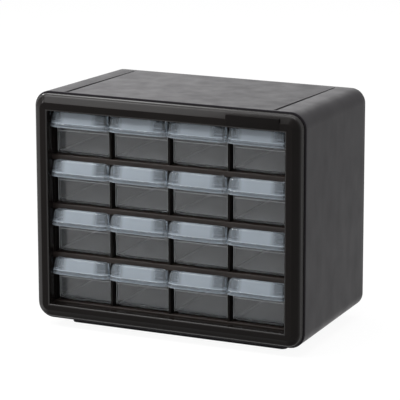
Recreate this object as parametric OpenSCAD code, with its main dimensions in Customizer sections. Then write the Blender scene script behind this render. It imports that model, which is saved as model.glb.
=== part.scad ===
// Parts bin cabinet: a rounded housing and bezel around a slotted rack of sixteen sliding drawers.
// Millimetres, +Z up, front towards -Y, origin on the ground under the middle of the cabinet.

/* [Cells] */
// Clear width of one drawer cell
cell_w = 57.5; // [50:0.5:70]
// Clear height of one drawer cell
cell_h = 44.4; // [40:0.2:60]
// Thickness of the rack's plates
plate_t = 2; // [1.4:0.1:3]
// How far a shelf's front bead hangs below its plate
bead_drop = 3; // [2:0.1:4]
// Depth of a shelf's front bead, front to back
bead_d = 3; // [2:0.1:5]
// Depth of the rack, front to back
rack_d = 144.3; // [140:0.1:180]
// Distance from the bezel's back to the front of the shelves' beads
rack_setback = 1.7; // [1:0.1:3]
// How far the upright plates' front edges lie behind the beads' fronts
upright_setback = 0.5; // [0.3:0.1:1]

/* [Housing] */
// Wall thickness of the housing
wall_t = 2; // [1.6:0.1:2.6]
// Radius of the bezel's long corners
corner_r = 13.5; // [11:0.5:16]
// How far the housing's front edge stands out round the bezel
lip = 1.6; // [0.4:0.1:1.6]
// How far each side lies inside the bezel's outline at the back
side_draft = 1.8; // [0:0.1:2.5]
// How far the top and the bottom each lie inside that outline at the back
top_draft = 1.5; // [0:0.1:1.8]
// Rounding of the rear edges
rear_r = 2; // [0.5:0.1:3]
// Distance from each side to the middle of the groove along the top
top_groove_in = 29.75; // [20:0.25:40]
// Width of those grooves at the front
top_groove_front_w = 3.6; // [1.5:0.1:5]
// Width of those grooves at the rear
top_groove_rear_w = 1.2; // [0.6:0.1:1.5]
// Depth of those grooves
top_groove_depth = 1; // [0.5:0.1:1.2]
// Distance from the bezel to the grooves' front ends
top_groove_front = 2.5; // [2:0.5:20]
// Distance from the grooves' rear ends to the back
top_groove_rear = 8; // [4:0.5:30]

/* [Plinth] */
// Height of the plinth
plinth_h = 9; // [5:0.1:11]
// Width of the plinth
plinth_w = 219; // [180:1:225]
// Thickness of the plinth's rim
plinth_t = 3; // [2:0.1:6]
// Corner radius of the plinth
plinth_r = 5; // [4:0.5:10]
// Distance from the bezel to the plinth's front
plinth_front = 16; // [3:0.5:24]
// Distance from the plinth's rear to the back
plinth_rear = 4; // [3:0.5:20]

/* [Bezel] */
// Depth of the bezel in front of the housing
bezel_d = 9.8; // [8:0.1:11]
// Width of the bezel's side bands
band_side = 15; // [14:0.1:20]
// Width of the bezel's top band
band_top = 15.3; // [14:0.1:20]
// Width of the bezel's bottom band
band_bottom = 13.6; // [13:0.1:20]
// Rounding of the bezel's outer front edge
bezel_outer_r = 6; // [4:0.1:7]
// Rounding of the bezel's inner front edge
bezel_inner_r = 3.5; // [2:0.1:4]
// Wall thickness of the bezel's hollow moulding
bezel_t = 1.8; // [1.4:0.1:2.2]
// Length of the spigot that plugs into the housing
spigot_l = 8; // [5:0.5:12]
// Height of the bottom shelf above the bezel's bottom band
floor_rise = 1.6; // [0.5:0.1:3]
// How far the bezel's top band hangs below the top shelf's plate
top_overlap = 2.1; // [1:0.1:2.4]

/* [Label plate] */
// Width of the bare plate on the top band
label_w = 52; // [30:1:70]
// Height of the bare plate
label_h = 10.2; // [6:0.1:11]
// Thickness of the bare plate
label_t = 0.6; // [0.4:0.1:1]
// Distance from the plate's right end to the opening's right edge
label_inset = 5.5; // [2:0.5:20]
// Height of the plate above the opening's top edge
label_rise = 1.5; // [1:0.1:2.5]

/* [Drawers] */
// Wall thickness of a drawer
drawer_t = 1.3; // [1:0.1:1.8]
// Floor thickness of a drawer
floor_t = 1.4; // [1:0.1:2]
// Radius of a drawer's upright corners
tray_r = 3.5; // [3:0.1:5]
// Least radius of a drawer's upright corners near its floor
tray_low_r = 1; // [0.6:0.1:1.5]
// Rounding of a drawer's bottom edges
tray_bottom_r = 3; // [2:0.1:4]
// How far each side of a drawer leans in from front to back
tray_taper = 0.5; // [0:0.1:1.2]
// Distance from the fronts of the shelves' beads back to the tray's front
tray_setback = 4.7; // [3:0.1:7]
// How far the hood stands out from the tray's front
hood_d = 12.8; // [11.5:0.1:14]
// Height of the hood's lower edge above the drawer's underside
hood_z = 26.8; // [24:0.1:29]
// Height of the upright rim at the hood's lower edge
hood_rim = 4; // [2:0.1:5]
// How far the hood's face steps back above its rim
hood_step = 0.5; // [0.2:0.1:0.8]
// How far the hood's face leans back up to its top
hood_lean = 2.5; // [1:0.1:3]
// Rounding of the hood's upper end corners, seen from the front
hood_end_r = 4.5; // [3:0.1:6]
// Thickness of the hood's roof
hood_roof_t = 2.1; // [1.4:0.1:2.6]
// Radius of the hood's ends, seen from above
hood_r = 8; // [6:0.5:9]
// Height of the ledge on the tray's front, below the hood
ledge_z = 21.2; // [18:0.1:23]
// Height and depth of that ledge
ledge_t = 1.1; // [0.6:0.1:1.5]
// Width of the stop tab on a drawer's back
tab_w = 20; // [10:1:30]
// Size of the ribs that hold a partition in a drawer
rib_t = 0.9; // [0.6:0.1:1.2]
// Slot between a pair of ribs
rib_slot = 1.8; // [1.2:0.1:2.5]

/* [Clearances] */
// Gap at the joints between fixed pieces
fit_gap = 0.15; // [0.1:0.01:0.2]
// Gap between the rack and the housing
seat_gap = 0.2; // [0.15:0.01:0.3]
// Gap between a drawer and the shelf it slides on
run_gap = 0.2; // [0.1:0.01:0.3]
// Gap between a tray and each side of its cell
tray_gap = 1.45; // [1:0.05:2]
// Gap between two hoods side by side
hood_gap = 1; // [0.6:0.1:2]
// Gap between a tray's rim and the bead above it
rim_gap = 1.6; // [1:0.1:2.5]
// Gap between a tray's front wall and the bead above it
front_wall_gap = 0.4; // [0.3:0.05:0.8]
// How far a hood overlaps the front of the bead above it
hood_overlap = 0.5; // [0.3:0.05:0.55]
// Gap between a closed hood and the bead it stops against
stop_gap = 0.2; // [0.1:0.01:0.4]
// Gap between a stop tab and the shelf above it
tab_gap = 0.7; // [0.4:0.1:1.2]
// Gap between a tray's back and the rack's rear end
tray_rear_gap = 11.6; // [2:0.1:20]

/* [Hidden] */

columns = 4;
rows = 4;
black = [0.17, 0.16, 0.17];
dark = [0.11, 0.11, 0.12];
brown_black = [0.2, 0.18, 0.17];
frosted = [0.74, 0.78, 0.81, 0.7];
thin = 0.01;        // thickness of the slices that a hull joins
past = 1;           // how far a cutting tool runs past what it cuts
round_step = 0.05;  // step that the spigot's inset is rounded up to
round_fn = 64;
hull_fn = 32;
tray_fn = 24;

// Inside the modules below, y is the distance behind the bezel's front
// and z is the height above the underside of the bezel.
pitch_x = cell_w + plate_t;
pitch_z = cell_h + plate_t;
body_w = columns * pitch_x + 2 * band_side;
floor_z = band_bottom + floor_rise;
opening_w = body_w - 2 * band_side;
opening_top = floor_z + rows * pitch_z - plate_t - top_overlap;
opening_h = opening_top - band_bottom;
body_h = opening_top + band_top;
rack_y = bezel_d + rack_setback;
upright_y = rack_y + upright_setback;
rack_end = rack_y + rack_d;
rack_mid = rack_y + rack_d / 2;
body_d = rack_end + seat_gap + wall_t;

spigot_end = bezel_d + spigot_l;
spigot_in = ceil_to(wall_t + fit_gap + lean(max(side_draft, top_draft), spigot_end), round_step);
channel_in = spigot_in + bezel_t;
plinth_y = bezel_d + plinth_front;
plinth_l = body_d - plinth_rear - plinth_y;

// Drawer sizes. Here z is the height above the drawer's own underside
// and y is the distance behind the front of its tray.
tray_w = cell_w - 2 * tray_gap;
tray_l = rack_d - tray_setback - tray_rear_gap;
hood_w = pitch_x - hood_gap;
under_bead = cell_h - bead_drop - run_gap;
tray_h = under_bead - rim_gap;
front_wall_h = under_bead - front_wall_gap;
hood_top = under_bead + hood_overlap;
hood_roof = hood_top - hood_roof_t;
tab_top = cell_h - run_gap - tab_gap;
tray_y = rack_y + tray_setback;
hood_rear = -tray_setback - stop_gap;  // back of the hood's wide part, in front of the bead
neck_half = tray_w / 2 - tray_r;       // half width of the neck between hood and tray
neck_back = drawer_t / 2;              // the neck ends inside the tray's front wall

// Next multiple of step above a value
function ceil_to(value, step) = ceil(value / step) * step;

// How far the housing's side, or its top or bottom, lies inside the bezel's outline at depth y
function lean(draft, y) = (lip + draft) * (y - bezel_d) / (body_d - bezel_d) - lip;
// Radius of the housing's long corners at depth y
function housing_r(y) = corner_r + lip * (body_d - y) / (body_d - bezel_d);

module in_place()
    translate([0, -body_d / 2, plinth_h]) children();

// Rounded rectangle centred on the origin
module rounded_rect(w, h, r, fn = round_fn) {
    square([w - 2 * r, h], center = true);
    square([w, h - 2 * r], center = true);
    for (x = [-1, 1], y = [-1, 1])
        translate([x * (w / 2 - r), y * (h / 2 - r)]) circle(r, $fn = fn);
}

// Upright rounded slab, d thick from depth y back, inset from the body's outline
module upright_slab(y, d, inset_x, inset_z, r, fn = round_fn)
    translate([0, y + d, body_h / 2]) rotate([90, 0, 0])
        linear_extrude(d) rounded_rect(body_w - 2 * inset_x, body_h - 2 * inset_z, r, fn);

// ---------- Housing ----------

module housing_outside()
    hull() {
        upright_slab(bezel_d, thin, -lip, -lip, housing_r(bezel_d), hull_fn);
        for (a = [0 : 30 : 90]) {
            y = body_d - rear_r * (1 - sin(a)) - thin;
            turn = rear_r * (1 - cos(a));
            upright_slab(y, thin, lean(side_draft, y) + turn, lean(top_draft, y) + turn,
                housing_r(y) - turn, hull_fn);
        }
    }

module housing_cavity()
    hull()
        for (y = [bezel_d - past, body_d - wall_t - thin])
            upright_slab(y, thin, wall_t + lean(side_draft, y), wall_t + lean(top_draft, y),
                housing_r(y) - wall_t, hull_fn);

// Groove along the top near each side, narrower to the rear, level with the leaning top
module top_grooves() {
    lean_angle = atan((lip + top_draft) / (body_d - bezel_d));
    front = top_groove_front;
    rear = body_d - bezel_d - top_groove_rear;
    for (x = [-1, 1])
        translate([x * (body_w / 2 - top_groove_in), bezel_d, body_h + lip]) rotate([-lean_angle, 0, 0])
            translate([0, 0, -top_groove_depth]) linear_extrude(top_groove_depth + past)
                polygon([[-top_groove_front_w / 2, front], [top_groove_front_w / 2, front],
                    [top_groove_rear_w / 2, rear], [-top_groove_rear_w / 2, rear]]);
}

module plinth_ring()
    translate([0, plinth_y + plinth_l / 2, -plinth_h])
        linear_extrude(plinth_h + top_draft + wall_t / 2)
            difference() {
                rounded_rect(plinth_w, plinth_l, plinth_r);
                rounded_rect(plinth_w - 2 * plinth_t, plinth_l - 2 * plinth_t, plinth_r - plinth_t / 2);
            }

module housing()
    color(black) in_place()
        difference() {
            union() {
                housing_outside();
                plinth_ring();
            }
            housing_cavity();
            top_grooves();
        }

// ---------- Bezel ----------

// Flat outline of a slab of width w whose two front corners are rounded
module nosed_outline(w, d, r)
    for (side = [0, 1])
        mirror([side, 0]) half_nosed_outline(w / 2, d, r);

// Half of that outline, from the middle out to width w
module half_nosed_outline(w, d, r)
    intersection() {
        square([w, d]);
        union() {
            square([w - r, d]);
            translate([0, r]) square([w, d]);
            translate([w - r, r]) circle(r, $fn = round_fn);
        }
    }

// Rounded slab with a rounded front edge, from depth y back
module nosed_slab(y, d, inset, nose) {
    w = body_w - 2 * inset;
    h = body_h - 2 * inset;
    r = corner_r - inset;
    translate([0, y, body_h / 2]) {
        translate([0, 0, -h / 2 + r]) linear_extrude(h - 2 * r) nosed_outline(w, d, nose);
        translate([-w / 2 + r, 0, 0]) rotate([90, 0, 90])
            linear_extrude(w - 2 * r) rotate([0, 0, 90]) mirror([0, 1]) nosed_outline(h, d, nose);
        for (x = [-1, 1], z = [-1, 1])
            translate([x * (w / 2 - r), 0, z * (h / 2 - r)]) rotate([-90, 0, 0])
                rotate_extrude($fn = round_fn) half_nosed_outline(r, d, nose);
    }
}

// Flat outline of an opening of width w that flares towards the front
module flared_outline(w, d, r) {
    translate([-w / 2, -past]) square([w, d + 2 * past]);
    for (side = [0, 1])
        mirror([side, 0])
            difference() {
                translate([0, -past]) square([w / 2 + r, r + past]);
                translate([w / 2 + r, r]) circle(r, $fn = round_fn);
            }
}

module bezel_opening()
    translate([0, 0, band_bottom + opening_h / 2])
        intersection() {
            translate([0, 0, -body_h]) linear_extrude(2 * body_h)
                flared_outline(opening_w, bezel_d, bezel_inner_r);
            translate([-body_w, 0, 0]) rotate([90, 0, 90]) linear_extrude(2 * body_w)
                rotate([0, 0, 90]) mirror([0, 1]) flared_outline(opening_h, bezel_d, bezel_inner_r);
        }

module label_block(y, d)
    translate([opening_w / 2 - label_inset - label_w, y, opening_top + label_rise])
        cube([label_w, d, label_h]);

module bezel_channel()
    difference() {
        nosed_slab(bezel_t + label_t, bezel_d, channel_in, bezel_outer_r / 2);
        translate([-opening_w / 2 - bezel_t, -past, band_bottom - bezel_t])
            cube([opening_w + 2 * bezel_t, bezel_d + 2 * past, opening_h + 2 * bezel_t]);
    }

module bezel_spigot()
    difference() {
        upright_slab(bezel_d, spigot_l, spigot_in, spigot_in, corner_r - spigot_in);
        upright_slab(bezel_d - past, spigot_l + 2 * past, channel_in, channel_in,
            corner_r - channel_in);
    }

module front_bezel()
    color(black) in_place() {
        difference() {
            union() {
                nosed_slab(0, bezel_d, 0, bezel_outer_r);
                label_block(label_t, bezel_outer_r);
            }
            bezel_opening();
            bezel_channel();
            label_block(-past, label_t + past);
        }
        bezel_spigot();
    }

module label_plate()
    color(dark) in_place() label_block(0, label_t);

// ---------- Rack ----------

function column_x(i) = (i - columns / 2) * pitch_x;
function shelf_z(i) = floor_z + i * pitch_z;

// Half of the housing's inside width at depth y, less the seat's gap
function half_inside(y) = body_w / 2 - wall_t - lean(side_draft, y) - seat_gap;
// How much narrower the housing is inside at depth y for a plate between heights low and high
function corner_loss(y, low, high) =
    let (r = housing_r(y) - wall_t, top_or_bottom = housing_r(y) + lean(top_draft, y),
        rise = max(0, top_or_bottom - low, high - body_h + top_or_bottom))
    r - sqrt(max(0, r * r - rise * rise));
// Inside floor of the housing at depth y, plus the seat's gap
function inside_floor(y) = wall_t + lean(top_draft, y) + seat_gap;

// Shelf i counts up from the bottom; z is the top of its plate
module shelf(i) {
    notch_y = spigot_end + fit_gap;
    low = shelf_z(i) - plate_t;
    notch_x = body_w / 2 - channel_in - fit_gap - corner_loss(notch_y, low, shelf_z(i));
    front_x = half_inside(notch_y) - corner_loss(notch_y, low, shelf_z(i));
    rear_x = half_inside(rack_end) - corner_loss(rack_end, low, shelf_z(i));
    color(brown_black) in_place() translate([0, 0, shelf_z(i)]) {
        difference() {
            translate([0, 0, -plate_t]) linear_extrude(plate_t)
                polygon([[-notch_x, rack_y + bead_d / 2], [notch_x, rack_y + bead_d / 2],
                    [notch_x, notch_y], [front_x, notch_y], [rear_x, rack_end],
                    [-rear_x, rack_end], [-front_x, notch_y], [-notch_x, notch_y]]);
            for (c = [0 : columns])
                translate([column_x(c) - plate_t / 2 - fit_gap, rack_mid, -plate_t - past])
                    cube([plate_t + 2 * fit_gap, rack_d, plate_t + 2 * past]);
        }
        shelf_bead();
    }
}

// Bead along a shelf's front edge, round at the top and square below
module shelf_bead() {
    bead_w = columns * pitch_x + plate_t;
    nose = plate_t / 2;
    translate([-bead_w / 2, rack_y, 0]) rotate([90, 0, 90]) linear_extrude(bead_w) {
        translate([0, -plate_t - bead_drop]) square([bead_d, plate_t + bead_drop - nose]);
        translate([nose, -nose]) square([bead_d - nose, nose]);
        translate([nose, -nose]) circle(nose, $fn = round_fn);
    }
}

// Upright plate c counts from the left; slotted from the front for every shelf
module upright(c) {
    notch_y = spigot_end + fit_gap;
    notch_z = channel_in + fit_gap;
    half = [[upright_y, notch_z], [notch_y, notch_z], [notch_y, inside_floor(notch_y)],
        [rack_end, inside_floor(rack_end)]];
    outline = concat(half, [for (i = [3 : -1 : 0]) [half[i][0], body_h - half[i][1]]]);
    color(brown_black) in_place()
        translate([column_x(c) - plate_t / 2, 0, 0]) difference() {
            rotate([90, 0, 90]) linear_extrude(plate_t) polygon(outline);
            for (i = [0 : rows])
                translate([-past, 0, shelf_z(i) - plate_t - fit_gap]) {
                    cube([plate_t + 2 * past, rack_mid + fit_gap, plate_t + 2 * fit_gap]);
                    translate([0, 0, -bead_drop])
                        cube([plate_t + 2 * past, rack_y + bead_d + fit_gap,
                            plate_t + bead_drop + 2 * fit_gap]);
                }
        }
}

// ---------- Drawers ----------

// Corners of a tray's outline as thin slices at height z, inset from the outline
module tray_slice(z, inset) {
    r = max(tray_r - inset, tray_low_r);
    for (x = [-1, 1]) {
        translate([x * (tray_w / 2 - inset - r), inset + r, z])
            cylinder(r = r, h = thin, $fn = tray_fn);
        translate([x * (tray_w / 2 - tray_taper - inset - r), tray_l - inset - r, z])
            cylinder(r = r, h = thin, $fn = tray_fn);
    }
}

// Tray outline from height z up to top, inset by a wall, with rounded bottom edges
module tray_solid(z, top, wall)
    hull() {
        for (a = [0 : 30 : 90])
            tray_slice(z + tray_bottom_r * (1 - cos(a)), wall + tray_bottom_r * (1 - sin(a)));
        tray_slice(top - thin, wall);
    }

// Corners of the hood's plan from height z up by h: front edge at -d, half width half_w
module hood_slice(z, h, half_w, d, r)
    for (side = [0, 1])
        mirror([side, 0, 0]) {
            translate([half_w - r, r - d, z]) cylinder(r = r, h = h, $fn = tray_fn);
            translate([half_w - past, hood_rear, z]) cube([past, past, h]);
        }

// Hood's solid, shrunk by a wall all round, from its lower edge to top, with rounded upper corners
module hood_solid(wall, low, top) {
    face = hood_step + wall;
    face_low = hood_z + hood_rim + hood_step;
    end_r = hood_end_r - wall;
    hull() {
        hood_slice(low, face_low - low, hood_w / 2 - face, hood_d - face, hood_r - face);
        for (a = [0 : 30 : 90]) {
            z = top - end_r * (1 - sin(a));
            hood_slice(z - thin, thin, hood_w / 2 - face - end_r * (1 - cos(a)),
                hood_d - face - hood_lean * (z - face_low) / (hood_top - face_low), hood_r - face);
        }
    }
}

module hood_rim_band()
    hull() hood_slice(hood_z, hood_rim, hood_w / 2, hood_d, hood_r);

// Block between the hood and the tray's front, from height low up to high
module hood_neck(half_w, front, low, high)
    translate([-half_w, front, low]) cube([2 * half_w, neck_back - front, high - low]);

module hood() {
    pocket_back = hood_rear - drawer_t;
    difference() {
        union() {
            difference() {
                union() {
                    hood_solid(0, hood_z, hood_top);
                    hood_rim_band();
                }
                translate([-hood_w, hood_rear, 0]) cube([2 * hood_w, 2 * hood_r, 2 * hood_top]);
            }
            hood_neck(neck_half, pocket_back, hood_z + hood_rim, front_wall_h);
        }
        intersection() {
            hood_solid(drawer_t, hood_z - past, hood_roof);
            translate([-hood_w, pocket_back - 2 * hood_d, 0]) cube([2 * hood_w, 2 * hood_d, hood_roof]);
        }
        translate([0, past, 0])
            hood_neck(neck_half - drawer_t, pocket_back - 2 * past, hood_z - past, hood_roof);
    }
}

module partition_ribs()
    for (x = [-1, 1], s = [-1, 1])
        translate([x * (tray_w / 2 - drawer_t - tray_taper / 2) - rib_t / 2,
            tray_l / 2 + s * (rib_slot + rib_t) / 2 - rib_t / 2, floor_t + tray_bottom_r])
            cube([rib_t, rib_t, tray_h - floor_t - 2 * tray_bottom_r]);

module tray() {
    difference() {
        tray_solid(0, tray_h, 0);
        tray_solid(floor_t, tray_h + past, drawer_t);
    }
    flat_w = tray_w - 2 * tray_r;
    translate([-flat_w / 2, 0, tray_h - drawer_t])
        cube([flat_w, drawer_t, front_wall_h - tray_h + drawer_t]);
    translate([-flat_w / 2, -ledge_t / 2, ledge_z]) cube([flat_w, ledge_t, ledge_t]);
    translate([-tab_w / 2, tray_l - drawer_t, tray_h - drawer_t])
        cube([tab_w, drawer_t, tab_top - tray_h + drawer_t]);
    partition_ribs();
}

// Row 1 is the top row, column 1 the left one
module drawer(row, column)
    color(frosted) in_place()
        translate([column_x(column - 0.5), tray_y, shelf_z(rows - row) + run_gap]) {
            tray();
            hood();
        }

// ---------- Nodes ----------

housing();
front_bezel();
label_plate();
shelf(0);  // base_shelf
shelf(1);  // shelf_3
shelf(2);  // shelf_2
shelf(3);  // shelf_1
shelf(4);  // top_shelf
upright(0);  // side_panel_left
upright(1);  // divider_1
upright(2);  // divider_2
upright(3);  // divider_3
upright(4);  // side_panel_right
for (row = [1 : rows], column = [1 : columns])
    drawer(row, column);
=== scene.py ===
"""Parts bin cabinet: detailed mouldings, materials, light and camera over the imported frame."""
import math

import bmesh
import bpy
from mathutils import Matrix, Vector


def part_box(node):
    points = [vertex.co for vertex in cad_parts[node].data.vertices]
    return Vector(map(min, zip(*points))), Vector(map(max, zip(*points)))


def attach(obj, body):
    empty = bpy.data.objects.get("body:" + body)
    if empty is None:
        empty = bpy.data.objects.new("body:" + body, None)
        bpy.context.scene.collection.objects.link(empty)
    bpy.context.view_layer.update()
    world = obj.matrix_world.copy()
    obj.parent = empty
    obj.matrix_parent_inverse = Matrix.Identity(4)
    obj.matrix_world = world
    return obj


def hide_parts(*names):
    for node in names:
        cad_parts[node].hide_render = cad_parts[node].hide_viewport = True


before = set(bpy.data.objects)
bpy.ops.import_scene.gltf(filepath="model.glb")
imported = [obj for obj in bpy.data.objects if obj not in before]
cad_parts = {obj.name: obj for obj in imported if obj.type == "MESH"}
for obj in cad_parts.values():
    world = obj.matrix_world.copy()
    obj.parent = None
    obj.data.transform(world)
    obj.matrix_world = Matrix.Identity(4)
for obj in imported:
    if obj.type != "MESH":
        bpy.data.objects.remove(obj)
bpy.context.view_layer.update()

MM = 0.001

# ---------- Sizes, in millimetres ----------
# For all but the drawers, y is the distance behind the bezel's front and z is the height
# above the underside of the bezel.
bezel_lo, bezel_hi = [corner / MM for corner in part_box("front_bezel")]
housing_lo, housing_hi = [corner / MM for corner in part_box("housing")]
label_lo, label_hi = [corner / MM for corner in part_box("label_plate")]
FRONT = bezel_lo.y
UNDER = bezel_lo.z
BODY_W = bezel_hi.x - bezel_lo.x
BODY_H = bezel_hi.z - bezel_lo.z
BODY_D = housing_hi.y - FRONT
BEZEL_D = housing_lo.y - FRONT
PLINTH_H = UNDER - housing_lo.z
LIP = housing_hi.x - bezel_hi.x

# Housing: its sides lean in towards the back.
CORNER_R = 13.5
SIDE_DRAFT = 1.8
TOP_DRAFT = 1.5
WALL = 2.0
REAR_R = 2.0
MOUTH_R = 0.35

# The two tapering grooves along the housing's top.
TOP_GROOVE_IN = 29.75
TOP_GROOVE_FRONT_W = 3.6
TOP_GROOVE_REAR_W = 1.2
TOP_GROOVE_DEPTH = 1.0
TOP_GROOVE_FRONT = 2.5
TOP_GROOVE_REAR = 8.0
TOP_GROOVE_RISE = 0.4
TOP_GROOVE_CUTS = 8
# Half of its section: a share of its half width, what is added to that, and a share of its depth.
TOP_GROOVE_SECTION = ((1, 0.3, 0), (1, 0.1, 0.06), (1, 0, 0.25), (0.95, 0, 0.9), (0.8, 0, 1))

PLINTH_W = 219.0
PLINTH_T = 3.0
PLINTH_R = 5.0
PLINTH_LEAST_R = 2.0
PLINTH_EDGE_R = 0.6
PLINTH_FRONT = 16.0
PLINTH_REAR = 4.0

# Bezel. The band's section, from its rear: a collar at the joint, a small step, a rounded
# shoulder, a slope and a ridge, then a flat face with a rounded edge round the opening.
BAND_SIDE = 15.0
BAND_TOP = 15.3
BAND_BOTTOM = 13.6
OPENING_R = 0.8
BEZEL_LEAST_R = OPENING_R + 3
COLLAR_REAR_R = 0.3
COLLAR_FRONT_R = 0.25
COLLAR_Y = 7.4
COLLAR_STEP = 0.8
SHOULDER_Y = 6.9
SHOULDER_R = 3.0
SLOPE_ANGLE = 52
RIDGE_IN = 7.0
RIDGE_R = 1.4
FACE_Y = 0.3
INNER_W = 1.4
INNER_D = 1.0
# The hollow behind it, which is open at the joint.
BEZEL_WALL = 1.8
HOLLOW_INNER_Y = BEZEL_WALL + 1
HOLLOW_OUTER_Y = BEZEL_WALL + 5
HOLLOW_OUTER_IN = BEZEL_WALL + 4

LABEL_R = 0.8
LABEL_EDGE_R = 0.35
LABEL_BLOCK_D = 6.0

# Drawers. Here x is measured from the drawer's middle, y from the front of its tray and z from
# its underside.
drawer_lo, drawer_hi = [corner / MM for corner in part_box("drawer_r1c1")]
DRAWER_T = 1.3
FLOOR_T = 1.4
TRAY_R = 1.8
TRAY_LOW_R = 1.0
TRAY_BOTTOM_R = 3.0
TRAY_RIM_R = 0.35
TRAY_TAPER = 0.5
TRAY_SIDE_GAP = 1.45
TRAY_H = 39.6
FRONT_WALL_H = 40.8
HOOD_D = 12.8
HOOD_Z = 26.8
HOOD_LOW_R = 0.45
HOOD_RIM = 4.0
HOOD_STEP = 0.8
HOOD_STEP_R = HOOD_STEP - 0.05
HOOD_LEAN = 2.5
HOOD_END_R = 4.5
HOOD_EDGE_R = 1.1
HOOD_ROOF_T = 2.1
HOOD_END_W = 11.4
HOOD_END_D = 5.0
HOOD_BACK = -4.9
HOOD_TOP = 41.7
HOOD_TURNS = (0, 12, 24, 36, 46, 55, 63, 70, 77, 84, 90)
NECK_BACK = 0.65
LEDGE_Z = 21.2
LEDGE_T = 1.1
TAB_W = 20.0
RIB_T = 0.9
RIB_SLOT = 1.8
# How far a cutting block reaches past the skin.
OVERSHOOT = 1
ROWS = range(1, 5)
COLUMNS = range(1, 5)
TRAY_L = drawer_hi.y - drawer_lo.y - HOOD_D
HOOD_W = drawer_hi.x - drawer_lo.x
TRAY_W = HOOD_W - 2 * TRAY_SIDE_GAP
TAB_TOP = drawer_hi.z - drawer_lo.z

# ---------- Looks; places in millimetres, gloss and milkiness as shares ----------
# Noise in the plastics: cells in a metre and detail.
FLOW_NOISE = (22, 4)
GLOSS_NOISE = (60, 3)
GRAIN_NOISE = (2600, 2)
NOISE_LOW = 0.3
NOISE_HIGH = 0.7
GLOSS_SPREAD = 0.12
GRAIN_STRENGTH = 0.5
GRAIN_DEPTH = 0.02

# A place beyond every surface of the cabinet.
FAR = 500

# Bezel: how glossy its face is, the edge behind it, the edge round the opening and, as a share
# of the rest, the foot; then where these begin and end.
FACE_GLOSS = 0.08
EDGE_GLOSS = 0.5
INNER_GLOSS = 0.4
FOOT_GLOSS = 0.35
EDGE_GLOSS_Y = 3.9
EDGE_GLOSS_END = 6.4
INNER_REACH = INNER_W - 0.1
INNER_SOFT = 0.05
FOOT_LOW = 4.5
FOOT_HIGH = 9.0

# Drawers: how milky each part is, how rough the clearest and the milkiest parts are, and where
# the parts begin and end. The field is the hood's milky middle; the milky bands along the rim's
# lower edge, the step, the ledge and the tray's front corners are painted highlight lines.
TRAY_MILK = 0.065
HOOD_MILK = 0.15
FIELD_MILK = 0.34
PAINTED_EDGE_HIGHLIGHT_MILK = 0.6
PAINTED_LEDGE_HIGHLIGHT_MILK = 0.3
PAINTED_CORNER_HIGHLIGHT_MILK = 0.55
FLOOR_MILK = 0.9
TRAY_ROUGH = 0.07
HOOD_ROUGH = 0.22
HOOD_COLOUR = (0.48, 0.54, 0.60)
TRAY_COLOUR = (0.80, 0.82, 0.84)
HOOD_SOFT = 1.0
FRONT_SOFT = 0.6
FIELD_HALF_W = 16.8
FIELD_SOFT = 3.5
# Where the painted highlight lines at the rim's lower edge and the step lie.
RIM_LINE_H = 0.7
RIM_LINE_SOFT = 0.2
STEP_LINE_BELOW = 0.2
STEP_LINE_ABOVE = 0.6
LINE_SOFT = 0.15
# Where the painted highlights down the tray's front corners lie.
WALL_LINE = 26.3
CORNER_START = -1.0
CORNER_END = 4.0
ZONE_SOFT = 0.3

# Edges sharper than this, in degrees, stay sharp; points closer than this, in metres, are joined.
SHARP = 30
DRAWER_SHARP = 28
WELD = 1e-6

# ---------- Floor, world, lamps and camera ----------
# In metres, degrees and watts, but the camera's lens and sensor are in millimetres.
FLOOR_HALF = 4
FLOOR_COLOUR = (0.55, 0.55, 0.55, 1)
FLOOR_ROUGH = 0.9
FLOOR_GLOW = 1.16
FLOOR_GLOW_SHARE = 0.8
WORLD_LIGHT = 0.45
WORLD_SEEN = 1.0
WHITE = (1, 1, 1, 1)

# Name, azimuth, elevation, distance, size and power. Azimuth 0 is in front, positive towards
# the right.
LAMPS = (
    ("key", -50, 52, 0.75, (0.34, 0.26), 2.4),
    ("left", -63, 32, 0.9, (0.06, 0.06), 3),
    ("overhead", 10, 80, 1.5, (1.2, 1.2), 15),
    ("rear", -155, 22, 2.0, (1.6, 0.8), 2.8),
)
LAMP_TARGET = (0, 0, 0.11)

CAMERA_AT = (0.9725, -2.0389, 0.6416)
CAMERA_YAW = 25.52
CAMERA_PITCH = 13.07
CAMERA_ROLL = -0.10
CAMERA_LENS = 224.3
CAMERA_SENSOR = 36
CAMERA_REACH = 50


# ---------- Mesh helpers ----------

def place(point):
    """A point of the body, in millimetres, as metres in the frame."""
    x, y, z = point
    return Vector((x, y + FRONT, z + UNDER)) * MM


def in_mm(point):
    """A point of a drawer, in millimetres, as metres from the drawer's own origin."""
    return Vector(point) * MM


def arc(cx, cy, r, start, end, steps=12):
    """Points along a circle's arc, from start to end in degrees."""
    angles = [math.radians(start + (end - start) * i / steps) for i in range(steps + 1)]
    return [(cx + r * math.cos(a), cy + r * math.sin(a)) for a in angles]


def rounded_outline(x0, x1, z0, z1, r, top=()):
    """Anticlockwise rounded rectangle from its lower right, with extra points along its top."""
    return (arc(x1 - r, z0 + r, r, -90, 0) + arc(x1 - r, z1 - r, r, 0, 90) + list(top)
            + arc(x0 + r, z1 - r, r, 90, 180) + arc(x0 + r, z0 + r, r, 180, 270))


def loft(rings, wrap=False):
    """Vertices and faces of a skin over rings that have the same number of points.

    It is closed by a face at either end, or runs back from the last ring to the first.
    """
    count = len(rings[0])
    verts = [point for ring in rings for point in ring]
    faces = []
    for i in range(len(rings) if wrap else len(rings) - 1):
        a = i * count
        b = (i + 1) % len(rings) * count
        faces += [(a + j, a + (j + 1) % count, b + (j + 1) % count, b + j) for j in range(count)]
    if not wrap:
        faces.append(tuple(range(count - 1, -1, -1)))
        faces.append(tuple(range(len(verts) - count, len(verts))))
    return verts, faces


def bar(x0, x1, y0, y1, z0, z1):
    """Closed block between two corners."""
    return loft([[(x1, y0, z), (x1, y1, z), (x0, y1, z), (x0, y0, z)] for z in (z0, z1)])


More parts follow.
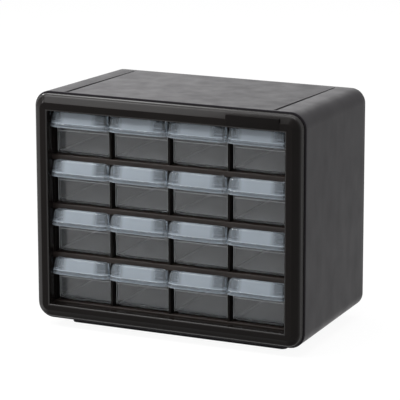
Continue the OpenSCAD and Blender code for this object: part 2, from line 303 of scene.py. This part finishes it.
def make_mesh(name, shells, move=place):
    """One mesh from several (vertices, faces) shells, smooth but for its sharp edges."""
    bm = bmesh.new()
    for verts, faces in shells:
        made = [bm.verts.new(move(v)) for v in verts]
        for face in faces:
            bm.faces.new([made[i] for i in face])
    bmesh.ops.remove_doubles(bm, verts=bm.verts, dist=WELD)
    bmesh.ops.recalc_face_normals(bm, faces=bm.faces)
    mesh = bpy.data.meshes.new(name)
    bm.to_mesh(mesh)
    bm.free()
    mesh.shade_smooth()
    mesh.set_sharp_from_angle(angle=math.radians(SHARP))
    return mesh


def add_object(name, mesh, material=None):
    piece = bpy.data.objects.new(name, mesh)
    bpy.context.scene.collection.objects.link(piece)
    if material:
        mesh.materials.append(material)
    return piece


def add_piece(name, mesh, material, node, body):
    """A piece that stands for one CAD node."""
    piece = add_object(name, mesh, material)
    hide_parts(node)
    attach(piece, body)


def boolean(target, other, operation):
    """Joins an object to a mesh object, or cuts it out of it, and removes it."""
    modifier = target.modifiers.new("join", "BOOLEAN")
    modifier.operation = operation
    modifier.solver = "EXACT"
    modifier.object = other
    bpy.context.view_layer.update()
    depsgraph = bpy.context.evaluated_depsgraph_get()
    result = bpy.data.meshes.new_from_object(target.evaluated_get(depsgraph))
    target.modifiers.clear()
    target.data = result
    bpy.data.objects.remove(other)


def boolean_shells(target, shells, operation):
    """Joins shells to a mesh object one by one, or cuts them out of it."""
    for i, shell in enumerate(shells):
        name = "tool_%d" % i
        boolean(target, add_object(name, make_mesh(name, [shell], in_mm)), operation)


# ---------- Materials ----------

class Graph:
    """Adds nodes to the node tree of a material or a world."""

    # Sockets of a mix node that hold colours.
    MIX_FIRST, MIX_SECOND, MIX_RESULT = 6, 7, 2

    def __init__(self, owner):
        owner.use_nodes = True
        self.nodes = owner.node_tree.nodes
        self.links = owner.node_tree.links

    def add(self, kind):
        return self.nodes.new("ShaderNode" + kind)

    def feed(self, socket, value):
        """Gives an input a constant, or links another node's output to it."""
        if isinstance(value, bpy.types.NodeSocket):
            self.links.new(value, socket)
        else:
            socket.default_value = value

    def feed_all(self, node, values):
        for name, value in values.items():
            self.feed(node.inputs[name], value)

    def ramp(self, source, low, high, from_low=NOISE_LOW, from_high=NOISE_HIGH):
        """A value that runs from low to high as source goes from from_low to from_high."""
        node = self.add("MapRange")
        self.feed_all(node, {"Value": source, "From Min": from_low, "From Max": from_high,
                             "To Min": low, "To Max": high})
        return node.outputs["Result"]

    def combine(self, operation, first, *others):
        """Outcome of a maths operation, taken with one value after the other."""
        for other in others:
            node = self.add("Math")
            node.operation = operation
            self.feed(node.inputs[0], first)
            self.feed(node.inputs[1], other)
            first = node.outputs[0]
        return first

    def band(self, source, low, high, soft):
        """1 where source, in metres, lies between two places in millimetres, with soft ends."""
        up = self.ramp(source, 0, 1, (low - soft) * MM, (low + soft) * MM)
        down = self.ramp(source, 1, 0, (high - soft) * MM, (high + soft) * MM)
        return self.combine("MINIMUM", up, down)

    def mix_colours(self, share, first, second):
        node = self.add("Mix")
        node.data_type = "RGBA"
        self.feed(node.inputs["Factor"], share)
        self.feed(node.inputs[self.MIX_FIRST], first)
        self.feed(node.inputs[self.MIX_SECOND], second)
        return node.outputs[self.MIX_RESULT]

    def noise(self, cells, detail, stretch=(1, 1, 1)):
        """Noise in the piece's own coordinates, with so many cells in a metre."""
        mapping = self.add("Mapping")
        self.feed_all(mapping, {"Vector": self.add("TexCoord").outputs["Object"],
                                "Scale": stretch})
        texture = self.add("TexNoise")
        self.feed_all(texture, {"Vector": mapping.outputs["Vector"], "Scale": cells,
                                "Detail": detail})
        return texture.outputs["Fac"]

    def own_coordinates(self):
        """x, y and z in the piece's own coordinates, in metres."""
        split = self.add("SeparateXYZ")
        self.feed(split.inputs["Vector"], self.add("TexCoord").outputs["Object"])
        return [split.outputs[axis] for axis in "XYZ"]


def moulded(name, colour, rough, ior, mottle, grain=GRAIN_DEPTH, streak=(1, 1, 1)):
    """Moulded plastic: fine grain, faint flow marks in its colour and uneven gloss."""
    material = bpy.data.materials.new(name)
    graph = Graph(material)
    dark = [c * (1 - mottle) for c in colour]
    light = [c * (1 + mottle) for c in colour]
    flow = graph.ramp(graph.noise(*FLOW_NOISE, streak), 0, 1)
    gloss = graph.noise(*GLOSS_NOISE, streak)
    bump = graph.add("Bump")
    graph.feed_all(bump, {"Strength": GRAIN_STRENGTH, "Distance": grain * MM,
                          "Height": graph.noise(*GRAIN_NOISE)})
    graph.feed_all(graph.nodes["Principled BSDF"], {
        "IOR": ior,
        "Base Color": graph.mix_colours(flow, (*dark, 1), (*light, 1)),
        "Roughness": graph.ramp(gloss, rough * (1 - GLOSS_SPREAD), rough * (1 + GLOSS_SPREAD)),
        "Normal": bump.outputs["Normal"]})
    return material


def bezel_plastic():
    """Slope, face and foot with little gloss, shoulder, collar and the opening's edge with more."""
    material = moulded("bezel_plastic", colour=(0.0085, 0.007, 0.0065), rough=0.18, ior=1.45,
                       mottle=0.1)
    graph = Graph(material)
    x, y, z = graph.own_coordinates()
    level = graph.ramp(y, FACE_GLOSS, EDGE_GLOSS,
                       (FRONT + EDGE_GLOSS_Y) * MM, (FRONT + EDGE_GLOSS_END) * MM)
    foot = graph.ramp(z, FOOT_GLOSS, 1, (UNDER + FOOT_LOW) * MM, (UNDER + FOOT_HIGH) * MM)
    opening_half = BODY_W / 2 - BAND_SIDE
    inner = graph.combine(
        "MINIMUM",
        graph.band(graph.combine("ABSOLUTE", x, 0), -FAR, opening_half + INNER_REACH, INNER_SOFT),
        graph.band(z, UNDER + BAND_BOTTOM - INNER_REACH, UNDER + BODY_H - BAND_TOP + INNER_REACH,
                   INNER_SOFT),
        graph.band(y, -FAR, FRONT + FACE_Y + INNER_D, INNER_SOFT))
    level = graph.combine("MAXIMUM", graph.combine("MULTIPLY", level, foot),
                          graph.combine("MULTIPLY", inner, INNER_GLOSS))
    graph.feed(graph.nodes["Principled BSDF"].inputs["Specular IOR Level"], level)
    return material


def drawer_plastic():
    """See-through plastic: clear tray, frosted hood with a milky field, painted highlights as paler
    lines along its edges.
    """
    material = moulded("drawer_plastic", colour=HOOD_COLOUR, rough=0.1, ior=1.38, mottle=0.04,
                       grain=0.008)
    graph = Graph(material)
    shader = graph.nodes["Principled BSDF"]
    x, y, z = graph.own_coordinates()
    in_hood = graph.ramp(y, 1, 0, (HOOD_BACK - HOOD_SOFT) * MM, (HOOD_BACK + HOOD_SOFT) * MM)
    in_front = graph.ramp(y, 1, 0, 0, FRONT_SOFT * MM)
    field = graph.combine("MULTIPLY", graph.band(x, -FIELD_HALF_W, FIELD_HALF_W, FIELD_SOFT),
                          graph.band(z, HOOD_Z + HOOD_RIM, FAR, ZONE_SOFT), FIELD_MILK)
    hood = graph.combine("MULTIPLY", in_hood, graph.combine("ADD", field, HOOD_MILK))
    # Painted highlights: milky bands along the rim's lower edge and the step above it show as pale
    # lines.
    painted_rim_highlight = graph.band(z, HOOD_Z, HOOD_Z + RIM_LINE_H, RIM_LINE_SOFT)
    painted_step_highlight = graph.band(z, HOOD_Z + HOOD_RIM - STEP_LINE_BELOW,
                           HOOD_Z + HOOD_RIM + STEP_LINE_ABOVE, LINE_SOFT)
    painted_rim_step_highlights = graph.combine("MULTIPLY", graph.combine("MAXIMUM", painted_rim_highlight, painted_step_highlight), PAINTED_EDGE_HIGHLIGHT_MILK)
    # Painted highlight: a milky band along the ledge shows as a pale line.
    ledge = graph.combine("MULTIPLY", graph.band(z, LEDGE_Z, LEDGE_Z + LEDGE_T, LINE_SOFT),
                          PAINTED_LEDGE_HIGHLIGHT_MILK)
    painted_edge_highlights = graph.combine("MULTIPLY", graph.combine("MAXIMUM", painted_rim_step_highlights, ledge), in_front)
    # Painted highlights: milky bands down the tray's front corners show as pale lines.
    corners = graph.combine(
        "MULTIPLY", graph.band(graph.combine("ABSOLUTE", x, 0), WALL_LINE, FAR, ZONE_SOFT),
        graph.band(y, CORNER_START, CORNER_END, ZONE_SOFT), PAINTED_CORNER_HIGHLIGHT_MILK)
    floor = graph.combine("MULTIPLY", graph.band(z, -FAR, FLOOR_T, ZONE_SOFT),
                          graph.band(y, CORNER_END, FAR, ZONE_SOFT), FLOOR_MILK)
    milk = graph.combine("MAXIMUM", hood, TRAY_MILK, painted_edge_highlights, corners, floor)
    hood_colour = shader.inputs["Base Color"].links[0].from_socket
    graph.feed_all(shader, {
        "Base Color": graph.mix_colours(in_hood, (*TRAY_COLOUR, 1), hood_colour),
        "Transmission Weight": graph.combine("SUBTRACT", 1, milk),
        "Roughness": graph.ramp(milk, TRAY_ROUGH, HOOD_ROUGH, TRAY_MILK, HOOD_MILK + FIELD_MILK)})
    return material


housing_mat = moulded("housing_plastic", colour=(0.018, 0.016, 0.019), rough=0.36, ior=1.17,
                      mottle=0.06, streak=(1, 1, 0.5))
bezel_mat = bezel_plastic()
label_mat = moulded("label_plastic", colour=(0.006, 0.005, 0.0048), rough=0.55, ior=1.15,
                    mottle=0.25, grain=0.04)
rack_mat = moulded("rack_plastic", colour=(0.017, 0.012, 0.010), rough=0.34, ior=1.32, mottle=0.2)
# The uprights' plastic is a darker copy of the rack plastic: painted shade on the recessed side
# panels and dividers.
upright_painted_shade_mat = moulded("upright_plastic", colour=(0.006, 0.005, 0.0045), rough=0.5, ior=1.15,
                      mottle=0.2)
drawer_mat = drawer_plastic()


# ---------- Housing ----------

def lean(draft, y):
    """How far a side of the housing lies inside the bezel's outline at depth y."""
    return (LIP + draft) * (y - BEZEL_D) / (BODY_D - BEZEL_D) - LIP


def groove_half_width(y):
    front = BEZEL_D + TOP_GROOVE_FRONT
    rear = BODY_D - TOP_GROOVE_REAR
    part = min(max((y - front) / (rear - front), 0), 1)
    return (TOP_GROOVE_FRONT_W + part * (TOP_GROOVE_REAR_W - TOP_GROOVE_FRONT_W)) / 2


def groove_points(y, top_z, level):
    """Points along the top from right to left, dipping into both grooves; level 1 is full depth."""
    w = groove_half_width(y)
    half = [(share * w + added, depth) for share, added, depth in TOP_GROOVE_SECTION]
    section = half + [(-offset, depth) for offset, depth in reversed(half)]
    centre = BODY_W / 2 - TOP_GROOVE_IN
    return [(side * centre + offset, top_z - depth * level * TOP_GROOVE_DEPTH)
            for side in (1, -1) for offset, depth in section]


def housing_ring(y, inset=0.0, level=0.0):
    """Ring of the housing's outline at depth y, set in, with the grooves at a level."""
    x = BODY_W / 2 - inset - lean(SIDE_DRAFT, y)
    z0 = inset + lean(TOP_DRAFT, y)
    z1 = BODY_H - z0
    r = CORNER_R + LIP * (BODY_D - y) / (BODY_D - BEZEL_D) - inset
    outline = rounded_outline(-x, x, z0, z1, r, groove_points(y, z1, level))
    return [(px, y, pz) for px, pz in outline]


def housing_shell():
    """From the inside of the housing's back, round its front edge, to the outside of its back."""
    front = BEZEL_D + TOP_GROOVE_FRONT
    rear = BODY_D - TOP_GROOVE_REAR
    groove_l = rear - front - 2 * TOP_GROOVE_RISE
    rings = [housing_ring(y, WALL) for y in (BODY_D - WALL, BEZEL_D)]
    rings += [housing_ring(BEZEL_D + MOUTH_R - dy, MOUTH_R - dx)
              for dx, dy in arc(0, 0, MOUTH_R, 90, 0, steps=4)]
    rings.append(housing_ring(front))
    rings += [housing_ring(front + TOP_GROOVE_RISE + groove_l * i / TOP_GROOVE_CUTS, level=1.0)
              for i in range(TOP_GROOVE_CUTS + 1)]
    rings.append(housing_ring(rear))
    rings += [housing_ring(BODY_D - REAR_R + rise, REAR_R - turn)
              for turn, rise in arc(0, 0, REAR_R, 0, 90, steps=6)]
    return loft(rings)


def plinth_level(inset, z=None):
    """Ring of the plinth's outline at z, or one inside the thickness of the housing's floor."""
    outline = rounded_outline(-PLINTH_W / 2 + inset, PLINTH_W / 2 - inset,
                              BEZEL_D + PLINTH_FRONT + inset, BODY_D - PLINTH_REAR - inset,
                              PLINTH_R - min(inset, PLINTH_R - PLINTH_LEAST_R))
    return [(x, y, lean(TOP_DRAFT, y) + WALL / 2 if z is None else z) for x, y in outline]


def plinth_ring():
    """Rim under the housing, with rounded lower edges."""
    r = PLINTH_EDGE_R
    rings = [plinth_level(0)]
    rings += [plinth_level(r - x, -PLINTH_H + r - z) for x, z in arc(0, 0, r, 0, 90, steps=4)]
    rings += [plinth_level(PLINTH_T - x, -PLINTH_H + r - z)
              for x, z in arc(r, 0, r, 90, 180, steps=4)]
    rings.append(plinth_level(PLINTH_T))
    return loft(rings, wrap=True)


housing_mesh = make_mesh("housing_shell", [housing_shell(), plinth_ring()])
add_piece("housing_shell", housing_mesh, housing_mat, "housing", "cabinet")


# ---------- Bezel ----------

def bezel_ring(y, inset):
    """Ring of the bezel's outer outline, set in."""
    x = BODY_W / 2 - inset
    outline = rounded_outline(-x, x, inset, BODY_H - inset, max(CORNER_R - inset, BEZEL_LEAST_R))
    return [(px, y, pz) for px, pz in outline]


def opening_ring(y, outset):
    """Ring round the bezel's opening, set out."""
    x = BODY_W / 2 - BAND_SIDE + outset
    outline = rounded_outline(-x, x, BAND_BOTTOM - outset, BODY_H - BAND_TOP + outset,
                              OPENING_R + outset)
    return [(px, y, pz) for px, pz in outline]


def bezel_skin():
    """From the collar's rear edge over the front and through the opening into the hollow."""
    rings = [bezel_ring(y, COLLAR_REAR_R - dx)
             for dx, y in arc(0, BEZEL_D - COLLAR_REAR_R, COLLAR_REAR_R, 90, 0, steps=3)]
    rings += [bezel_ring(COLLAR_Y + COLLAR_FRONT_R - dy, COLLAR_FRONT_R - dx)
              for dx, dy in arc(0, 0, COLLAR_FRONT_R, 0, 90, steps=3)]
    rings += [bezel_ring(SHOULDER_Y - dy, COLLAR_STEP + SHOULDER_R - dx)
              for dx, dy in arc(0, 0, SHOULDER_R, 0, SLOPE_ANGLE, steps=8)]
    rings += [bezel_ring(FACE_Y + RIDGE_R - dy, RIDGE_IN + RIDGE_R - dx)
              for dx, dy in arc(0, 0, RIDGE_R, SLOPE_ANGLE, 90, steps=6)]
    rings += [opening_ring(FACE_Y + INNER_D * (1 - dy), INNER_W * (1 - dx))
              for dx, dy in arc(0, 0, 1, 90, 0, steps=8)]
    rings.append(opening_ring(BEZEL_D, 0))
    rings.append(opening_ring(BEZEL_D, BEZEL_WALL))
    rings.append(opening_ring(HOLLOW_INNER_Y, BEZEL_WALL))
    rings.append(bezel_ring(HOLLOW_OUTER_Y, HOLLOW_OUTER_IN))
    rings.append(bezel_ring(BEZEL_D, BEZEL_WALL + COLLAR_STEP))
    return loft(rings, wrap=True)


bezel_mesh = make_mesh("bezel_moulding", [bezel_skin()])
add_piece("bezel_moulding", bezel_mesh, bezel_mat, "front_bezel", "cabinet")


# ---------- Label plate ----------

def label_ring(inset, y):
    outline = rounded_outline(label_lo.x + inset, label_hi.x - inset, label_lo.z - UNDER + inset,
                              label_hi.z - UNDER - inset, LABEL_R - inset)
    return [(x, y, z) for x, z in outline]


def label_skin():
    """Bare plate with rounded edges on a block that fills the slope behind it."""
    rings = [label_ring(0, LABEL_BLOCK_D)]
    rings += [label_ring(LABEL_EDGE_R - dx, LABEL_EDGE_R - dy)
              for dx, dy in arc(0, 0, LABEL_EDGE_R, 0, 90, steps=4)]
    return loft(rings)


label_mesh = make_mesh("label_plate_moulding", [label_skin()])
add_piece("label_plate_moulding", label_mesh, label_mat, "label_plate", "cabinet")


# ---------- Rack ----------

SHELVES = ["base_shelf", "shelf_3", "shelf_2", "shelf_1", "top_shelf"]
UPRIGHTS = ["side_panel_left", "divider_1", "divider_2", "divider_3", "side_panel_right"]
for rack_node in SHELVES + UPRIGHTS:
    rack_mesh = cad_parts[rack_node].data
    rack_mesh.materials.clear()
    rack_mesh.materials.append(rack_mat if rack_node in SHELVES else upright_painted_shade_mat)


# ---------- Drawers ----------

def tray_ring(z, inset):
    """Horizontal outline of the tray, narrower towards its back."""
    r = max(TRAY_R - inset, TRAY_LOW_R)
    x_front = TRAY_W / 2 - inset
    x_back = x_front - TRAY_TAPER
    y0, y1 = inset, TRAY_L - inset
    outline = (arc(x_back - r, y1 - r, r, 0, 90, steps=6)
               + arc(-x_back + r, y1 - r, r, 90, 180, steps=6)
               + arc(-x_front + r, y0 + r, r, 180, 270, steps=6)
               + arc(x_front - r, y0 + r, r, 270, 360, steps=6))
    return [(x, y, z) for x, y in outline]


def tray_skin():
    """Outside from the bottom up, over the rim, and inside down to the floor."""
    low, rim = TRAY_BOTTOM_R, TRAY_RIM_R
    rings = [tray_ring(low - dz, low - dx) for dx, dz in arc(0, 0, low, 90, 0, steps=7)]
    rings += [tray_ring(TRAY_H - rim + dz, rim - dx)
              for dx, dz in arc(0, 0, rim, 0, 90, steps=3)]
    rings += [tray_ring(TRAY_H - rim + dz, DRAWER_T - rim - dx)
              for dx, dz in arc(0, 0, rim, 90, 180, steps=3)]
    rings += [tray_ring(FLOOR_T + low - dz, DRAWER_T + low - dx)
              for dx, dz in arc(0, 0, low, 0, 90, steps=7)]
    return loft(rings)


def hood_ring(z, half_w, depth, shrink=0.0, back=HOOD_BACK):
    """Plan of the hood: a flat front between gently curved ends, cut off flat at its back."""
    w, d = HOOD_END_W - shrink, HOOD_END_D - shrink
    end = [(half_w - w + w * x, -depth + d - d * y) for x, y in arc(0, 0, 1, 90, 0, steps=10)]
    outline = [(-half_w, back)] + [(-x, y) for x, y in reversed(end)] + end + [(half_w, back)]
    return [(x, y, z) for x, y in outline]


def rounded_in(r, below):
    """How far an edge of radius r lies in, at a height this far below its top."""
    rise = max(r - below, 0)
    return r - math.sqrt(max(r * r - rise * rise, 0))


def hood_face(z, wall, top):
    """Plan of the hood above its rim, set in by a wall, with rounded upper ends and front edge."""
    low = HOOD_Z + HOOD_RIM + HOOD_STEP
    part = max(z - low, 0) / (HOOD_TOP - low)
    face = HOOD_STEP + wall
    return hood_ring(z, HOOD_W / 2 - face - rounded_in(HOOD_END_R - wall, top - z),
                     HOOD_D - face - HOOD_LEAN * part - rounded_in(HOOD_EDGE_R, top - z), face,
                     HOOD_BACK - wall)


def hood_upper(wall, top):
    """Rings round the hood's rounded upper ends."""
    r = HOOD_END_R - wall
    return [hood_face(top - r * (1 - math.sin(math.radians(turn))), wall, top)
            for turn in HOOD_TURNS]


def hood_skin():
    """Outside of the hood, from the rim's lower edge to the top."""
    half = HOOD_W / 2
    low, step = HOOD_LOW_R, HOOD_STEP_R
    rim_top = HOOD_Z + HOOD_RIM
    rings = [hood_ring(HOOD_Z + low - dz, half - low + dx, HOOD_D - low + dx, low - dx)
             for dx, dz in arc(0, 0, low, 90, 0, steps=3)]
    rings += [hood_ring(rim_top - step + dz, half - step + dx, HOOD_D - step + dx, step - dx)
              for dx, dz in arc(0, 0, step, 0, 90, steps=6)]
    rings.append(hood_face(rim_top + HOOD_STEP, 0, HOOD_TOP))
    return loft(rings + hood_upper(0, HOOD_TOP))


def hood_cavity():
    """Space inside the hood, which opens downwards."""
    inset = HOOD_STEP + DRAWER_T
    rings = [hood_ring(z, HOOD_W / 2 - inset, HOOD_D - inset, inset, HOOD_BACK - DRAWER_T)
             for z in (HOOD_Z - OVERSHOOT, HOOD_Z + HOOD_RIM + HOOD_STEP)]
    return loft(rings + hood_upper(DRAWER_T, HOOD_TOP - HOOD_ROOF_T))


def drawer_mesh():
    """One drawer, joined into a single skin: tray, hood, raised front, ledge, stop tab and ribs."""
    flat = TRAY_W / 2 - TRAY_R
    pocket_back = HOOD_BACK - DRAWER_T
    hood = add_object("hood", make_mesh("hood", [hood_skin()], in_mm))
    neck = bar(-flat, flat, pocket_back, NECK_BACK, HOOD_Z + HOOD_RIM, FRONT_WALL_H)
    neck_cavity = bar(-flat + DRAWER_T, flat - DRAWER_T, pocket_back - OVERSHOOT,
                      NECK_BACK + OVERSHOOT, HOOD_Z - OVERSHOOT, HOOD_TOP - HOOD_ROOF_T)
    boolean_shells(hood, [neck], "UNION")
    boolean_shells(hood, [hood_cavity(), neck_cavity], "DIFFERENCE")

    tray = add_object("tray", make_mesh("tray", [tray_skin()], in_mm))
    raised_front = bar(-flat, flat, 0, DRAWER_T, TRAY_H - DRAWER_T, FRONT_WALL_H)
    ledge = bar(-flat, flat, -LEDGE_T / 2, LEDGE_T / 2, LEDGE_Z, LEDGE_Z + LEDGE_T)
    tab = bar(-TAB_W / 2, TAB_W / 2, TRAY_L - DRAWER_T, TRAY_L, TRAY_H - DRAWER_T, TAB_TOP)
    wall = TRAY_W / 2 - DRAWER_T - TRAY_TAPER / 2
    ribs = [bar(side * wall - RIB_T / 2, side * wall + RIB_T / 2,
                TRAY_L / 2 + end * (RIB_SLOT + RIB_T) / 2 - RIB_T / 2,
                TRAY_L / 2 + end * (RIB_SLOT + RIB_T) / 2 + RIB_T / 2,
                FLOOR_T + TRAY_BOTTOM_R, TRAY_H - TRAY_BOTTOM_R)
            for side in (-1, 1) for end in (-1, 1)]
    boolean_shells(tray, [raised_front, ledge, tab] + ribs, "UNION")
    boolean(tray, hood, "UNION")
    mesh = tray.data
    bpy.data.objects.remove(tray)
    mesh.name = "drawer_moulding"
    mesh.shade_smooth()
    mesh.set_sharp_from_angle(angle=math.radians(DRAWER_SHARP))
    mesh.materials.clear()
    mesh.materials.append(drawer_mat)
    return mesh


one_drawer = drawer_mesh()
for row in ROWS:
    for column in COLUMNS:
        node = "drawer_r%dc%d" % (row, column)
        lo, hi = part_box(node)
        piece = add_object(node + "_moulding", one_drawer)
        piece.location = ((lo.x + hi.x) / 2, lo.y + HOOD_D * MM, lo.z)
        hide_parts(node)
        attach(piece, node + "_body")


# ---------- Floor, light and camera ----------

def background_rays(graph):
    """1 for rays that see the background: from the camera, mirrored or through clear plastic."""
    paths = graph.add("LightPath")
    return graph.combine("MAXIMUM", paths.outputs["Is Camera Ray"], paths.outputs["Is Glossy Ray"],
                         paths.outputs["Is Transmission Ray"])


def stage_floor():
    """White floor that keeps the object's shadow."""
    h = FLOOR_HALF
    corners = [(-h, -h, 0), (h, -h, 0), (h, h, 0), (-h, h, 0)]
    mesh = make_mesh("floor", [(corners, [(0, 1, 2, 3)])], Vector)
    material = bpy.data.materials.new("floor_white")
    graph = Graph(material)
    shader = graph.nodes["Principled BSDF"]
    graph.feed_all(shader, {"Base Color": FLOOR_COLOUR, "Roughness": FLOOR_ROUGH,
                            "Specular IOR Level": 0.0})
    glow = graph.add("Emission")
    graph.feed_all(glow, {"Color": WHITE, "Strength": FLOOR_GLOW})
    mix = graph.add("MixShader")
    graph.feed(mix.inputs["Fac"], graph.combine("MULTIPLY", background_rays(graph),
                                                FLOOR_GLOW_SHARE))
    graph.feed(mix.inputs[1], shader.outputs["BSDF"])
    graph.feed(mix.inputs[2], glow.outputs["Emission"])
    graph.feed(graph.nodes["Material Output"].inputs["Surface"], mix.outputs["Shader"])
    add_object("floor", mesh, material)


def white_world():
    """World that is white where it is seen and gives less light than that."""
    world = bpy.data.worlds.new("studio")
    graph = Graph(world)
    graph.feed_all(graph.nodes["Background"], {
        "Color": WHITE,
        "Strength": graph.ramp(background_rays(graph), WORLD_LIGHT, WORLD_SEEN, 0, 1)})
    bpy.context.scene.world = world


def area_light(name, azimuth, elevation, distance, size, power):
    """Soft box that faces the lamps' target."""
    light = bpy.data.lights.new(name, "AREA")
    light.shape = "RECTANGLE"
    light.size, light.size_y = size
    light.energy = power
    lamp = bpy.data.objects.new(name, light)
    bpy.context.scene.collection.objects.link(lamp)
    a, e = math.radians(azimuth), math.radians(elevation)
    away = Vector((math.sin(a) * math.cos(e), -math.cos(a) * math.cos(e), math.sin(e)))
    lamp.location = Vector(LAMP_TARGET) + away * distance
    lamp.rotation_euler = away.to_track_quat("Z", "Y").to_euler()


def add_camera():
    data = bpy.data.cameras.new("camera")
    data.lens = CAMERA_LENS
    data.sensor_width = CAMERA_SENSOR
    data.sensor_fit = "HORIZONTAL"
    data.clip_end = CAMERA_REACH
    camera = bpy.data.objects.new("camera", data)
    bpy.context.scene.collection.objects.link(camera)
    turn = (Matrix.Rotation(math.radians(CAMERA_YAW), 4, "Z")
            @ Matrix.Rotation(math.radians(90 - CAMERA_PITCH), 4, "X")
            @ Matrix.Rotation(math.radians(CAMERA_ROLL), 4, "Z"))
    camera.matrix_world = Matrix.Translation(CAMERA_AT) @ turn
    bpy.context.scene.camera = camera


stage_floor()
white_world()
for lamp_values in LAMPS:
    area_light(*lamp_values)
add_camera()
bpy.context.scene.view_settings.view_transform = "Standard"
